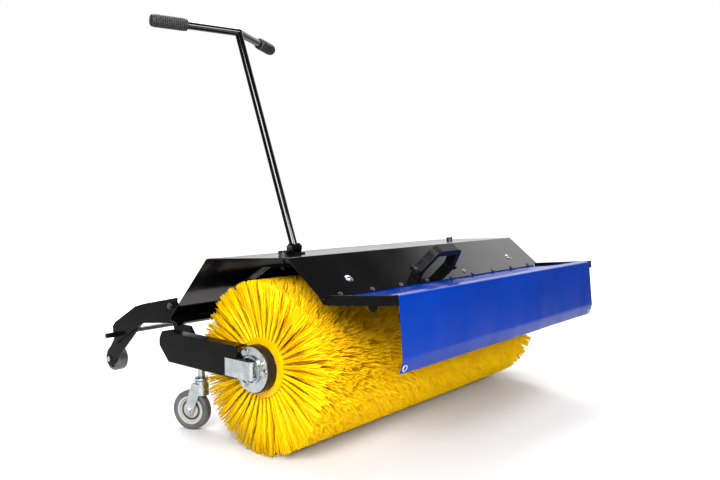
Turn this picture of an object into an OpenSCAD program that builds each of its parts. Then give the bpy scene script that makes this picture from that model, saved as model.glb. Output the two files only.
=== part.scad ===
/* Rotary sweeper broom with hood, flap, push handle, casters and rear hitch.
   Millimetres. X runs along the brush, Y to the rear, Z up from the floor.
   Each sub-part is drawn about the brush axis (y = 0) and placed() moves the
   whole machine so that the origin is the bottom centre of its box. */

/* [Brush roller] */
// Diameter over the bristle tips
brush_d = 500; // [430:10:600]
// Length of the bristle roll
brush_len = 1200; // [1000:10:1500]
// Number of bristle rings on the core
ring_count = 40; // [24:1:60]
// Thickness of the bristle bundle in one ring
bristle_t = 4; // [3:0.5:6]
// Outer diameter of the plastic ring cores
ring_d = 172; // [160:1:200]
// Diameter of the steel core tube
core_d = 130; // [110:1:145]
// Wall of the steel core tube
core_wall = 3; // [2:0.5:5]
// Diameter of the stub shafts
shaft_d = 30; // [25:1:34]

/* [Hub ends] */
// Gap between the end ring and the bearing housing
hub_gap = 6; // [4:1:12]
// Diameter of the black bearing housing
housing_d = 136; // [120:1:150]
// Length of the bearing housing
housing_len = 25; // [20:1:34]
// Outer diameter of the ball bearing
bearing_d = 62; // [58:1:72]
// Diameter of the zinc end disc
disc_d = 130; // [116:1:140]
// Thickness of the zinc end disc
disc_t = 5; // [4:0.5:8]
// Outer diameter of the raised ring on the disc
collar_d = 79; // [76:1:80]
// Height of the raised ring
collar_h = 6; // [4:1:8]
// Gap between the disc and the side arm
arm_gap = 16; // [12:1:24]
// Pitch circle of the disc bolts
hub_bolt_pcd = 104; // [104:1:108]
// Thread diameter of the disc bolts
hub_bolt_d = 10; // [8:1:12]
// Height of the zinc hub bracket
bracket_h = 52; // [44:1:54]
// Reach of the hub bracket in front of the brush axis
bracket_front = 22; // [18:1:23]
// Sheet thickness of the hub bracket
bracket_t = 5; // [4:0.5:6]

/* [Side arms and rear beam] */
// Height of the side arm channel
arm_h = 93; // [88:1:110]
// Width of the side arm flanges
arm_flange = 40; // [30:1:50]
// Sheet thickness of the side arms
arm_t = 4; // [3:0.5:5]
// Reach of the side arm behind the beam
arm_tail = 83; // [76:1:100]
// Side of the square rear beam
beam_side = 60; // [50:1:64]
// Wall of the rear beam
beam_wall = 3; // [2:0.5:5]
// Gap between the bristle tips and the beam
beam_gap = 25; // [20:1:50]

/* [Hood] */
// Overhang of the hood past each end of the brush
hood_over = 20; // [10:1:24]
// Sheet thickness of the hood
hood_t = 2; // [1.5:0.5:3]
// Depth of the top plate
hood_top = 345; // [320:5:380]
// Length of the front plate
hood_front = 161; // [150:1:180]
// Length of the rear plate
hood_rear = 284; // [270:1:300]
// Width of the lip under the rear plate
hood_lip = 40; // [30:1:45]
// Bend of the front plate
hood_front_bend = 42; // [38:1:46]
// Bend of the rear plate
hood_rear_bend = 43; // [40:1:46]
// Forward tilt of the whole hood
hood_tilt = 3.5; // [0:0.5:5]
// Gap between the bristle tips and the hood top
hood_gap = 60; // [50:1:90]
// Distance of each arch from the end of the brush
arch_in = 140; // [120:5:220]
// Width of the arch bar
arch_w = 40; // [30:1:50]
// Thickness of the arch bar
arch_t = 6; // [5:1:8]

/* [Flap] */
// Reach of the flap brackets in front of the hood edge
flap_reach = 219; // [180:1:240]
// Rise of the flap brackets
flap_rise = 5.4; // [3:0.2:7]
// Distance of the tarpaulin's edge from the end of the hood
tarp_in = 38; // [30:1:60]
// Thickness of the tarpaulin
tarp_t = 2; // [1:0.5:3]
// Height of the hanging curtain below the front bar
curtain_h = 164; // [120:1:190]

/* [Push handle] */
// Distance of the handle from the left end of the brush
handle_in = 163; // [160:1:240]
// Length of the stem
stem_len = 719; // [600:10:850]
// Diameter of the stem and bar tube
tube_d = 24; // [22:1:27]
// Wall of the tube
tube_wall = 2; // [1.5:0.5:3]
// Backward lean of the stem
stem_lean = 20.1; // [5:0.1:25]
// Length of each half of the bar
bar_half = 284; // [240:1:300]
// Backward sweep of each half
bar_sweep = 21; // [0:1:30]
// Turn of the bar about the upright
bar_turn = 4.8; // [0:0.1:8]
// Diameter of the grips
grip_d = 38; // [34:1:42]
// Length of the grips
grip_len = 115; // [100:1:140]

/* [Casters] */
// Wheel diameter
wheel_d = 125; // [100:5:130]
// Width of the tyre
tyre_w = 32; // [26:1:34]
// Trail of the wheel behind the swivel axis
caster_trail = 35; // [25:1:40]
// Swivel angle at rest
caster_turn = 21; // [0:1:40]
// Distance of each caster from the outer face of the side arm
caster_in = 72; // [62:1:160]

/* [Hitch frame] */
// Distance of the hitch arm from the outer face of the side arm
hitch_in = 74; // [66:1:160]
// Thickness of the hitch plates
hitch_t = 6; // [5:1:8]
// Diameter of the hitch pins
pin_d = 18; // [16:1:20]
// Length of the hitch pins
pin_len = 37; // [30:1:45]
// Diameter of the rollers
roller_d = 90; // [80:1:96]
// Width of the rollers
roller_w = 42; // [36:1:50]
// Diameter of the cross rod
rod_d = 17; // [14:1:20]

/* [Drive] */
// Diameter of the input shaft
input_d = 25; // [20:1:28]
// Length of input shaft outside the gearbox
input_len = 60; // [50:1:80]
// Diameter of the cross shaft
cross_d = 20; // [18:1:24]
// Pitch radius of the brush sprocket
sprocket_big = 70; // [60:1:76]
// Pitch radius of the drive sprocket
sprocket_small = 35; // [30:1:40]
// Depth of the chain case and its cover
case_depth = 61; // [56:1:80]

/* [Hidden] */
$fn = 48;
run_gap = 0.05;
hole_gap = 0.3;
brush_r = brush_d / 2;
axis_z = brush_r;
ring_w = brush_len / ring_count;
ring_r = ring_d / 2;
core_r = core_d / 2;
shaft_r = shaft_d / 2;
end_x = brush_len / 2;
housing_x = end_x + hub_gap;
disc_x = housing_x + housing_len;
boss_x = disc_x + disc_t;
arm_x = boss_x + arm_gap;
hub_angles = [62, 182, 302];
hub_bolt_depth = 14;
nipple_angle = 152;
nipple_at = 49;
nipple_r = 4;
hood_len = brush_len + 2 * hood_over;
tarp_w = hood_len - 2 * tarp_in;
arch_x = end_x - arch_in;
handle_x = end_x - handle_in;
caster_x = arm_x - caster_in;
hitch_x = arm_x - hitch_in;
case_x = arm_x + case_depth;

arm_low = axis_z - 31;
arm_front = 45;
beam_y = brush_r + beam_gap;
beam_back = beam_y + beam_side;
beam_low = arm_low + arm_t;
beam_top = beam_low + beam_side;
arm_back = beam_back + arm_tail;

cross_r = cross_d / 2;
cross_y = beam_back + 57;
cross_z = axis_z + 42;
cross_hole = cross_r + 4;

hood_y = 43;
hood_z = axis_z + brush_r + hood_gap;
bend_r = 6;
front_dir = [-cos(hood_front_bend), -sin(hood_front_bend)];
front_in = [sin(hood_front_bend), -cos(hood_front_bend)];
rear_dir = [cos(hood_rear_bend), -sin(hood_rear_bend)];
lip_dir = [-cos(14), -sin(14)];
front_top = [-hood_top / 2, 0];
rear_top = [hood_top / 2, 0];
rear_end = rear_top + rear_dir * hood_rear;

// A point of the hood's own upright section, turned by the tilt
function hood_point(p) = [hood_y + p[0] * cos(hood_tilt) + p[1] * sin(hood_tilt),
                          hood_z - p[0] * sin(hood_tilt) + p[1] * cos(hood_tilt)];
// A point s along the front plate from its bend, d inside its outer face
function front_point(s, d) = hood_point(front_top + front_dir * s + front_in * d);

tarp_lap = 14;
tarp_s = hood_front - tarp_lap;
screw_s = hood_front - 7.5;
tarp_under = hood_t + 0.1;
hood_edge = front_point(hood_front, 0);
flap_y = hood_edge[0] - flap_reach;
bracket_w = 20;
bracket_tall = 25;
bracket_x = tarp_w / 2 + 2;
bracket_back = hood_edge[0] - 3;
bracket_z = hood_edge[1] - 5;
flap_z = bracket_z + (bracket_back - flap_y) * tan(flap_rise);
bar_side = 20;
bar_tall = 24;
bar_low = flap_z - bar_tall / 2 - 3;
bar_top = bar_low + bar_tall;
tarp_over = bar_top + 0.6;
curtain_y = flap_y + 1 - tarp_t - 0.5;
bead_r = tarp_t;
bead_z = bar_low - 0.4 - bead_r;

pivot_y = hood_point(rear_end)[0] + 47;
pivot_z = axis_z + 127;
pivot_r = 6;
leg_x = hitch_x - hitch_t;
lug_t = 8;
roller_y = pivot_y + 394;
roller_z = pivot_z - 235;
roller_x = leg_x - hitch_t - 3;
roller_back = roller_y + roller_d / 2;

foot_y = 28;
tube_r = tube_d / 2;
eye_r = tube_r + 1;
foot_rise = eye_r + 7;
foot_z = hood_point([foot_y - hood_y, 0])[1] + foot_rise;
ear_gap = tube_r + 0.5;
ear_t = 5;
tilt_r = 5;

caster_r = wheel_d / 2;
fork_z = wheel_d + 22;
caster_y = beam_y + 25;
stem_low = fork_z + 13;
axle_r = 6;

grip_x = handle_x + (bar_half - grip_d / 4) * cos(bar_sweep - bar_turn)
         + grip_d / 4 * (1 + sin(bar_sweep - bar_turn));
machine_x = (grip_x - case_x) / 2;
machine_y = -(curtain_y - 1 + roller_back) / 2;

// ---- helpers ----

function unit2(v) = v / norm(v);
function left2(v) = [-v[1], v[0]];
function backwards(list) = [for (i = [len(list) - 1 : -1 : 0]) list[i]];

// The corner at b between a and c, rounded to radius r in six chords
function corner_arc(a, b, c, r) =
    let (u = unit2(a - b), w = unit2(c - b), half = acos(u * w) / 2,
         centre = b + unit2(u + w) * r / sin(half),
         from = b + u * r / tan(half) - centre, to = b + w * r / tan(half) - centre,
         start = atan2(from[1], from[0]), stop = atan2(to[1], to[0]),
         sweep = ((stop - start + 540) % 360) - 180)
    [for (i = [0 : 6]) centre + r * [cos(start + sweep * i / 6), sin(start + sweep * i / 6)]];

// The direction of travel at point i of a path, on the way in and on the way out
function way_in(path, i) = unit2(i > 0 ? path[i] - path[i - 1] : path[1] - path[0]);
function way_out(path, i) = i < len(path) - 1 ? unit2(path[i + 1] - path[i]) : way_in(path, i);

// The corners of a path moved d to its left
function shifted(path, d) =
    [for (i = [0 : len(path) - 1])
        let (n1 = left2(way_in(path, i)), n2 = left2(way_out(path, i)))
        path[i] + (n1 + n2) * d / (1 + n1 * n2)];

// The same, with each bend rounded about the radius r of the middle line
function bent(path, d, r) =
    let (s = shifted(path, d), n = len(path))
    concat([s[0]],
           [for (i = [1 : n - 2])
               let (turn = sign(cross(way_in(path, i), way_out(path, i))))
               each corner_arc(s[i - 1], s[i], s[i + 1], r - turn * d)],
           [s[n - 1]]);

// A bent strip of thickness t along a middle line
module strip(path, t, r) polygon(concat(bent(path, t / 2, r), backwards(bent(path, -t / 2, r))));

// The outline of a belt round two circles a distance d apart, with a point every five degrees
function belt_points(r1, r2, d) =
    let (a = acos((r1 - r2) / d))
    concat([for (t = [a : 5 : 360 - a]) r1 * [cos(t), sin(t)]],
           [for (t = [-a : 5 : a]) [d, 0] + r2 * [cos(t), sin(t)]]);

// A section drawn in (y, z), run from x0 to x1
module along_x(x0, x1) translate([x0, 0, 0]) rotate([90, 0, 90]) linear_extrude(x1 - x0) children();
// A round bar along X from x0 to x1
module bar_x(r, x0, x1) translate([x0, 0, 0]) rotate([0, 90, 0]) cylinder(r = r, h = x1 - x0);
module at_yz(y, z) translate([0, y, z]) children();
module placed() translate([machine_x, machine_y, 0]) children();
module right_side() mirror([1, 0, 0]) children();

// Hood coordinates: X along the hood, Y along the top plate, Z out of it
module on_hood() translate([0, hood_y, hood_z]) rotate([-hood_tilt, 0, 0]) children();
// Front plate coordinates: Y up the slope from its lower edge, Z out of its face
module on_front(s) on_hood() translate([0, front_top[0] + front_dir[0] * s, front_dir[1] * s])
    rotate([hood_front_bend, 0, 0]) children();

module hex(across, h) cylinder(d = across / cos(30), h = h, $fn = 6);
module hex_bolt(d, grip, head) {
    translate([0, 0, -grip]) cylinder(d = d, h = grip);
    cylinder(d = 2.2 * d, h = 1.5);
    translate([0, 0, 1.5]) hex(1.7 * d, head);
}

// ---- side arms and rear beam ----

function arm_corners() = [[arm_front, arm_low], [arm_front, arm_low + arm_h],
                          [arm_back - 14, arm_low + arm_h], [arm_back, arm_low + arm_h - 24],
                          [arm_back, arm_low + 47], [arm_back - 47, arm_low]];
// The same outline d further in, and open at the front end when d is above zero
function arm_outline(d) =
    let (p = arm_corners())
    [[p[0][0] - (d > 0 ? 1 : 0), p[0][1] + d], [p[1][0] - (d > 0 ? 1 : 0), p[1][1] - d],
     p[2] + [-d * 0.6, -d], p[3] + [-d, -d * 0.4], p[4] + [-d, d * 0.4], p[5] + [-d * 0.4, d]];

module side_arm(shaft_hole) {
    difference() {
        along_x(-arm_x, -arm_x + arm_flange) polygon(arm_outline(0));
        along_x(-arm_x + arm_t, -arm_x + arm_flange + 1) polygon(arm_outline(arm_t));
        at_yz(0, axis_z) bar_x(housing_d / 2 + 3, -arm_x + arm_t, -arm_x + arm_flange + 1);
        if (shaft_hole) at_yz(cross_y, cross_z) bar_x(cross_hole, -arm_x - 1, -arm_x + arm_t + 1);
    }
}
module arm_left() color("#1c1c1e") placed() side_arm(false);
module arm_right() color("#1c1c1e") placed() right_side() side_arm(true);

module hitch_lug(shaft_hole) {
    difference() {
        union() {
            along_x(-leg_x, -leg_x + lug_t) polygon([
                [beam_back, beam_low + 2], [beam_back, beam_top - 2],
                [beam_back + 33, beam_top + 38], [pivot_y - 47, beam_top + 38],
                [pivot_y - 21, pivot_z + 5], [pivot_y + 21, pivot_z - 6],
                [pivot_y - 22, beam_low + 28], [beam_back + 68, beam_low + 2]]);
            at_yz(pivot_y, pivot_z) bar_x(22, -leg_x, -leg_x + lug_t);
            translate([-leg_x - 7, pivot_y - 35, pivot_z - 62]) cube([8, 11, 14]);
        }
        at_yz(pivot_y, pivot_z) bar_x(pivot_r, -hitch_x, -leg_x + lug_t + 1);
        if (shaft_hole) at_yz(cross_y, cross_z) bar_x(cross_hole, -leg_x - 1, -leg_x + lug_t + 1);
    }
}
module rear_beam() color("#1c1c1e") placed() {
    beam_half = arm_x - arm_t;
    difference() {
        translate([-beam_half, beam_y, beam_low]) cube([2 * beam_half, beam_side, beam_side]);
        translate([-beam_half - 1, beam_y + beam_wall, beam_low + beam_wall])
            cube([2 * beam_half + 2, beam_side - 2 * beam_wall, beam_side - 2 * beam_wall]);
    }
    hitch_lug(false);
    right_side() hitch_lug(true);
}

// ---- hood, arches and their fasteners ----

arch_bolt_s = 102;
knob_y = 10;
arch_drop = 33;
screw_xs = [for (i = [-4 : 4]) i * (tarp_w - 84) / 8];
extra_bolt_x = 98;
extra_bolt_s = hood_front - 23;
grab_x = -40;

module hood() color("#202022") placed() difference() {
    along_x(-hood_len / 2, hood_len / 2) strip([
        hood_point(front_top + front_dir * hood_front + front_in * hood_t / 2),
        hood_point(front_top + [tan(hood_front_bend / 2), -1] * hood_t / 2),
        hood_point(rear_top + [-tan(hood_rear_bend / 2), -1] * hood_t / 2),
        hood_point(rear_end), hood_point(rear_end + lip_dir * hood_lip)], hood_t, bend_r);
    for (x = [-arch_x, arch_x]) {
        on_front(arch_bolt_s) translate([x, 0, -20]) cylinder(r = 5 + hole_gap, h = 40);
        on_hood() translate([x, knob_y, -20]) cylinder(r = 5 + hole_gap, h = 40);
    }
    tarp_holes();
}

// Holes for the screws that clamp the tarpaulin under the hood's front edge
module tarp_holes() for (x = screw_xs) on_front(screw_s) translate([x, 0, -20]) cylinder(r = 3 + hole_gap, h = 40);

// Middle line of an arch: up the front plate, over the brush and down to the beam
function arch_path() =
    let (lean = hood_t + 0.1 + arch_t / 2, s = (arch_drop - lean * cos(hood_front_bend)) / sin(hood_front_bend))
    [front_point(135, lean), front_point(s, lean), hood_point([80, -arch_drop]),
     hood_point([172, -78]), [beam_y + 22, beam_top + arch_t / 2], [beam_y + 54, beam_top + arch_t / 2]];
module arch(x) difference() {
    along_x(x - arch_w / 2, x + arch_w / 2) strip(arch_path(), arch_t, 26);
    on_front(arch_bolt_s) translate([x, 0, -20]) cylinder(r = 5 + hole_gap, h = 40);
    on_hood() translate([x, knob_y, -60]) cylinder(r = 5 + hole_gap, h = 60);
}
module hood_arch_left() color("#1c1c1e") placed() arch(-arch_x);
module hood_arch_right() color("#1c1c1e") placed() arch(arch_x);

module dome_bolt(grip) {
    translate([0, 0, -grip]) cylinder(r = 5, h = grip);
    cylinder(r = 13.5, h = 1.5);
    translate([0, 0, 1.5]) intersection() {
        translate([0, 0, -8]) sphere(r = 13);
        cylinder(r = 11, h = 6);
    }
    translate([0, 0, -grip]) hex(17, 7);
}
module hood_bolts() color("#c9ccd0") placed() {
    for (x = [-arch_x, arch_x]) on_front(arch_bolt_s) translate([x, 0, 0]) dome_bolt(hood_t + arch_t + 8);
    on_front(extra_bolt_s) translate([extra_bolt_x, 0, 0]) cylinder(r = 6, h = 4);
}

// Wing knob on a stud that pulls the hood down on its arch
module knob() {
    stud = arch_drop + 14;
    translate([0, 0, -stud]) cylinder(r = 5, h = stud);
    cylinder(r = 11, h = 4);
    translate([0, 0, 4]) cylinder(r = 8, h = 6);
    for (side = [-1, 1]) translate([side * 10, 0, 7]) rotate([90, 0, 0]) intersection() {
        cylinder(r = 8, h = 6, center = true);
        cube([20, 12, 6], center = true);
    }
    translate([0, 0, -arch_drop + arch_t / 2]) hex(17, 7);
    translate([0, 0, -arch_drop - arch_t / 2 - 8]) hex(17, 7);
}
module clamp_knobs() color("#3a3b3d") placed()
    for (x = [-arch_x, arch_x]) on_hood() translate([x, knob_y, 0]) knob();

// ---- moulded grab handle on the front plate ----

grab_foot = 88;
grab_top = 58;
grab_h = 86;
grab_t = 21;
grab_w = 32;
grab_s = 104;
grab_lean = atan((grab_foot - grab_top) / grab_h);
module grab_pocket(z, len) translate([0, 0, z]) cube([8, grab_w - 12, len], center = true);
module grab_handle() color("#1b1b1c") placed() on_front(grab_s) translate([grab_x, 0, 0])
    difference() {
        union() {
            rotate([90, 0, 0]) linear_extrude(grab_w, center = true) intersection() {
                strip([[-grab_foot - 8, -20], [-grab_top, grab_h - grab_t / 2],
                       [grab_top, grab_h - grab_t / 2], [grab_foot + 8, -20]], grab_t, 16);
                translate([-200, 0]) square([400, 200]);
            }
            for (side = [-1, 1]) translate([side * (grab_foot + 6), 0, 3])
                cube([40, grab_w, 6], center = true);
        }
        for (side = [-1, 1]) translate([side * (grab_foot + 8.5), 0, 0])
            rotate([0, -side * grab_lean, 0]) {
                grab_pocket(24, 20);
                grab_pocket(54, 22);
            }
        for (side = [-1, 1]) translate([side * (grab_foot + 17), 0, -1]) cylinder(r = 3 + hole_gap, h = 12);
    }

module pan_screw(len) {
    translate([0, 0, -len]) cylinder(r = 3, h = len);
    cylinder(r = 7, h = 1.2);
    translate([0, 0, 1.2]) cylinder(r = 5.5, h = 2.5);
}
module hood_screws() color("#8f9296") placed() {
    for (x = screw_xs) on_front(screw_s) translate([x, 0, 0]) {
        pan_screw(tarp_under + tarp_t);
        translate([0, 0, -tarp_under - tarp_t - 5]) hex(10, 4.9);
    }
    for (side = [-1, 1]) on_front(grab_s) translate([grab_x + side * (grab_foot + 17), 0, 6])
        pan_screw(5.9);
}

// ---- flap brackets, bar and tarpaulin ----

bracket_path_len = norm([bracket_back - flap_y, flap_z - bracket_z]);
module flap_bracket() {
    wall = 3;
    translate([-bracket_x - bracket_w, bracket_back, bracket_z]) rotate([-flap_rise, 0, 0]) {
        difference() {
            translate([0, -bracket_path_len, -bracket_tall / 2])
                cube([bracket_w, bracket_path_len, bracket_tall]);
            translate([wall, -bracket_path_len + wall, -bracket_tall / 2 - 1])
                cube([bracket_w - 2 * wall, bracket_path_len - 2 * wall, bracket_tall - wall + 1]);
        }
        translate([0, -bracket_path_len * 0.70, -bracket_tall / 2 - 1]) bar_x(14, 0, wall);
        translate([0, -bracket_path_len * 0.70, -bracket_tall / 2 - 6]) bar_x(6, -4, 0);
    }
    along_x(-bracket_x - 5, -bracket_x - 1) polygon([
        [bracket_back - 20, bracket_z - 12], [bracket_back - 20, bracket_z],
        hood_edge + [0, -6], front_point(hood_front - 4, hood_t), front_point(95, hood_t),
        front_point(95, hood_t) + [-3, -30], [bracket_back + 26, bracket_z - 14]]);
}
module flap_bracket_left() color("#1c1c1e") placed() flap_bracket();
module flap_bracket_right() color("#1c1c1e") placed() right_side() flap_bracket();

module flap_bar() color("#1c1c1e") placed()
    difference() {
        translate([-bracket_x, flap_y + 1, bar_low]) cube([2 * bracket_x, bar_side, bar_tall]);
        translate([-bracket_x - 1, flap_y + 3, bar_low + 2])
            cube([2 * bracket_x + 2, bar_side - 4, bar_tall - 4]);
    }

module tarp_top() color("#1d3fae") placed() difference() {
    along_x(-tarp_w / 2, tarp_w / 2) strip([
        front_point(tarp_s, tarp_under + tarp_t / 2), front_point(hood_front + 3, tarp_under + tarp_t / 2),
        [flap_y + 1 + bar_side + 6, tarp_over + tarp_t / 2], [curtain_y + tarp_t / 2, tarp_over + tarp_t / 2],
        [curtain_y + tarp_t / 2, bar_low + 0.1]], tarp_t, 2.5);
    tarp_holes();
}

// The curtain hangs from a round bead at the bottom edge of the bar, and swings about it
grommet_z = bead_z - curtain_h + 13;
grommet_x = tarp_w / 2 - 16;
module tarp_curtain() color("#1d3fae") placed() difference() {
    union() {
        translate([-tarp_w / 2, curtain_y, bead_z - curtain_h]) cube([tarp_w, tarp_t, curtain_h]);
        at_yz(curtain_y + tarp_t / 2, bead_z) bar_x(bead_r, -tarp_w / 2, tarp_w / 2);
    }
    for (x = [-grommet_x, grommet_x]) translate([x, curtain_y - 1, grommet_z])
        rotate([-90, 0, 0]) cylinder(r = 6, h = tarp_t + 2);
}
module grommets() color("#d0d3d6") placed()
    for (x = [-grommet_x, grommet_x]) translate([x, curtain_y, grommet_z]) rotate([-90, 0, 0])
        rotate_extrude() {
            translate([5, -0.8]) square([1, tarp_t + 1.6]);
            translate([5, -0.8]) square([6, 0.8]);
            translate([5, tarp_t]) square([6, 0.8]);
        }

// ---- push handle ----

module at_foot() translate([-handle_x, foot_y, foot_z]) children();
module handle_foot() color("#1c1c1e") placed() {
    difference() {
        union() {
            on_hood() translate([-handle_x - 22, foot_y - hood_y - 24, 0]) cube([44, 36, 5]);
            for (side = [-1, 1]) at_foot() difference() {
                union() {
                    bar_x(eye_r + 1, side > 0 ? ear_gap : -ear_gap - ear_t, side > 0 ? ear_gap + ear_t : -ear_gap);
                    translate([side > 0 ? ear_gap : -ear_gap - ear_t, -eye_r, -foot_rise + 3])
                        cube([ear_t, 2 * eye_r, foot_rise - 3]);
                }
            }
        }
        at_foot() bar_x(tilt_r, -40, 40);
    }
}
module handle_bolt() color("#c9ccd0") placed() at_foot() {
    reach = ear_gap + ear_t;
    bar_x(tilt_r, -reach - 8, reach);
    translate([-reach, 0, 0]) rotate([0, -90, 0]) hex(17, 7);
    translate([reach, 0, 0]) rotate([0, 90, 0]) hex(17, 7);
}

// The two tubes of the bar, drawn about the top of the stem
module bar_halves(r, extra) for (side = [-1, 1])
    rotate([0, 0, bar_turn_at(side)]) bar_x(r, 0, bar_half + extra);
function bar_turn_at(side) = side > 0 ? bar_sweep + bar_turn : 180 - bar_sweep + bar_turn;
module at_bar() at_foot() translate([0, stem_len * sin(stem_lean), stem_len * cos(stem_lean)]) children();
module handle_tee() color("#1c1c1e") placed() difference() {
    union() {
        at_foot() rotate([-stem_lean, 0, 0]) cylinder(r = tube_r, h = stem_len);
        at_foot() bar_x(eye_r, -tube_r, tube_r);
        at_bar() bar_halves(tube_r, -4);
        at_bar() sphere(r = tube_r + 1);
    }
    at_foot() rotate([-stem_lean, 0, 0]) translate([0, 0, 30]) cylinder(r = tube_r - tube_wall, h = stem_len - 50);
    at_bar() for (side = [-1, 1]) rotate([0, 0, bar_turn_at(side)])
        bar_x(tube_r - tube_wall, 14, bar_half);
    at_foot() bar_x(tilt_r + run_gap, -40, 40);
}
module grip(side) at_bar() rotate([0, 0, bar_turn_at(side)]) translate([bar_half, 0, 0])
    rotate([0, -90, 0]) rotate_extrude() difference() {
        union() {
            translate([0, grip_d / 4]) square([grip_d / 2, grip_len - grip_d / 4]);
            intersection() {
                translate([grip_d / 4, grip_d / 4]) circle(grip_d / 4);
                translate([0, -grip_d]) square(2 * grip_d);
            }
            square([grip_d / 4, grip_d / 2]);
        }
        translate([-1, 4]) square([tube_r + 1, grip_len]);
    }
module grip_left() color("#3c3d3f") placed() grip(-1);
module grip_right() color("#3c3d3f") placed() grip(1);

// ---- brush roller ----

module brush_core() color("#8d9094") placed() at_yz(0, axis_z) {
    plate_t = 8;
    difference() {
        bar_x(core_r, -end_x, end_x);
        bar_x(core_r - core_wall, -end_x - 1, end_x + 1);
    }
    for (x = [-end_x + 2, -end_x + 60, end_x - 68, end_x - 10]) difference() {
        bar_x(core_r - core_wall, x, x + plate_t);
        bar_x(shaft_r, x - 1, x + plate_t + 1);
    }
}
module brush_rings() color("#f2cf10") placed() at_yz(0, axis_z)
    for (i = [0 : ring_count - 1]) difference() {
        bar_x(ring_r, -end_x + i * ring_w + 0.1, -end_x + (i + 1) * ring_w - 0.1);
        bar_x(core_r, -end_x - 1, end_x + 1);
    }
module bristles() color("#ffdf00") placed() at_yz(0, axis_z)
    for (i = [0 : ring_count - 1])
        translate([-end_x + (i + 0.5) * ring_w, 0, 0]) difference() {
            bar_x(brush_r, -bristle_t / 2, bristle_t / 2);
            bar_x(ring_r, -bristle_t, bristle_t);
        }
module brush_shafts() color("#b8bbc0") placed() at_yz(0, axis_z) {
    bar_x(shaft_r, -disc_x - 1, -end_x + 70);
    bar_x(shaft_r, end_x - 70, case_x - 14);
}

// ---- hub ends ----

module bearing_housing() at_yz(0, axis_z) difference() {
    bar_x(housing_d / 2, -disc_x, -housing_x);
    bar_x(bearing_d / 2, -disc_x - 1, -housing_x - 2);
    bar_x(shaft_r + 2, -disc_x - 1, -housing_x + 1);
    for (a = hub_angles) rotate([a, 0, 0]) at_yz(hub_bolt_pcd / 2, 0)
        bar_x(hub_bolt_d / 2 + hole_gap, -disc_x - 1, -disc_x + hub_bolt_depth + 1);
}
module bearing_housing_left() color("#1a1a1b") placed() bearing_housing();
module bearing_housing_right() color("#1a1a1b") placed() right_side() bearing_housing();

module hub_bearings() color("#a9acb0") placed() for (side = [0, 1]) mirror([side, 0, 0])
    at_yz(0, axis_z) difference() {
        bar_x(bearing_d / 2, -disc_x, -housing_x - 2);
        bar_x(shaft_r + run_gap, -disc_x - 1, -housing_x);
    }

module hub_disc(through) at_yz(0, axis_z) difference() {
    union() {
        bar_x(disc_d / 2, -boss_x, -disc_x);
        bar_x(collar_d / 2, -boss_x - collar_h, -boss_x);
    }
    bar_x(collar_d / 2 - 4.5, -boss_x - collar_h - 1, -boss_x);
    bar_x(shaft_r + 2, through ? -boss_x - 1 : -disc_x - disc_t / 2, -disc_x + 1);
    for (a = hub_angles) rotate([a, 0, 0]) at_yz(hub_bolt_pcd / 2, 0)
        bar_x(hub_bolt_d / 2 + hole_gap, -boss_x - 1, -disc_x + 1);
    rotate([nipple_angle, 0, 0]) at_yz(nipple_at, 0) bar_x(nipple_r + hole_gap, -boss_x - 1, -disc_x + 1);
}
module hub_disc_left() color("#cfd2d5") placed() hub_disc(false);
module hub_disc_right() color("#cfd2d5") placed() right_side() hub_disc(true);
module hub_bolts() color("#d6d8db") placed() for (side = [0, 1]) mirror([side, 0, 0]) at_yz(0, axis_z) {
    for (a = hub_angles) rotate([a, 0, 0]) translate([-boss_x, hub_bolt_pcd / 2, 0])
        rotate([0, -90, 0]) hex_bolt(hub_bolt_d, hub_bolt_depth + disc_t - 1, 6);
    rotate([nipple_angle, 0, 0]) translate([-boss_x, nipple_at, 0]) rotate([0, -90, 0]) {
        translate([0, 0, -disc_t + 0.5]) cylinder(r = nipple_r, h = disc_t);
        hex(11, 5);
        cylinder(r = 3, h = 11);
    }
}

// A bent strap from the side arm round to the disc, with a web along its top and bottom
module hub_bracket() color("#cfd2d5") placed() at_yz(0, axis_z) {
    front_y = -bracket_front;
    web_w = arm_gap - collar_h;
    translate([0, 0, -bracket_h / 2]) linear_extrude(bracket_h) strip([
        [-arm_x - bracket_t / 2, arm_front + 45], [-arm_x - bracket_t / 2, front_y + bracket_t / 2],
        [-boss_x, front_y + bracket_t / 2]], bracket_t, 6);
    for (z = [-bracket_h / 2, bracket_h / 2 - 4])
        translate([-arm_x - 1, front_y + bracket_t, z]) cube([web_w, arm_front - front_y - bracket_t - 1, 4]);
}

// ---- drive: gearbox, cross shaft and chain at the right-hand end ----

gear_half = 50;
gear_wall = 5;
gear_low = cross_z - 44;
gear_tall = 84;
gear_back = beam_back + 115;
input_r = input_d / 2;
journal_r = input_r + 2;
module gearbox_case() color("#2a2b2d") placed() difference() {
    translate([-gear_half, beam_back, gear_low]) cube([2 * gear_half, gear_back - beam_back, gear_tall]);
    translate([-gear_half + gear_wall, beam_back + gear_wall, gear_low + gear_wall])
        cube([2 * (gear_half - gear_wall), gear_back - beam_back, gear_tall - 2 * gear_wall]);
    at_yz(cross_y, cross_z) bar_x(cross_r + run_gap, -gear_half - 1, gear_half + 1);
}
module gearbox_cover() color("#2a2b2d") placed() difference() {
    union() {
        translate([-gear_half, gear_back, gear_low]) cube([2 * gear_half, 8, gear_tall]);
        translate([0, gear_back + 8, cross_z]) rotate([-90, 0, 0]) cylinder(r = journal_r + 12, h = 12);
        for (x = [-1, 1], z = [-1, 1])
            translate([x * (gear_half - 10), gear_back + 8, gear_low + gear_tall / 2 + z * 33])
                rotate([-90, 0, 0]) hex(13, 5);
    }
    translate([0, gear_back - 1, cross_z]) rotate([-90, 0, 0]) cylinder(r = journal_r + run_gap, h = 40);
}
gear_r = 24;
gear_start = cross_r + 2;
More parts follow.
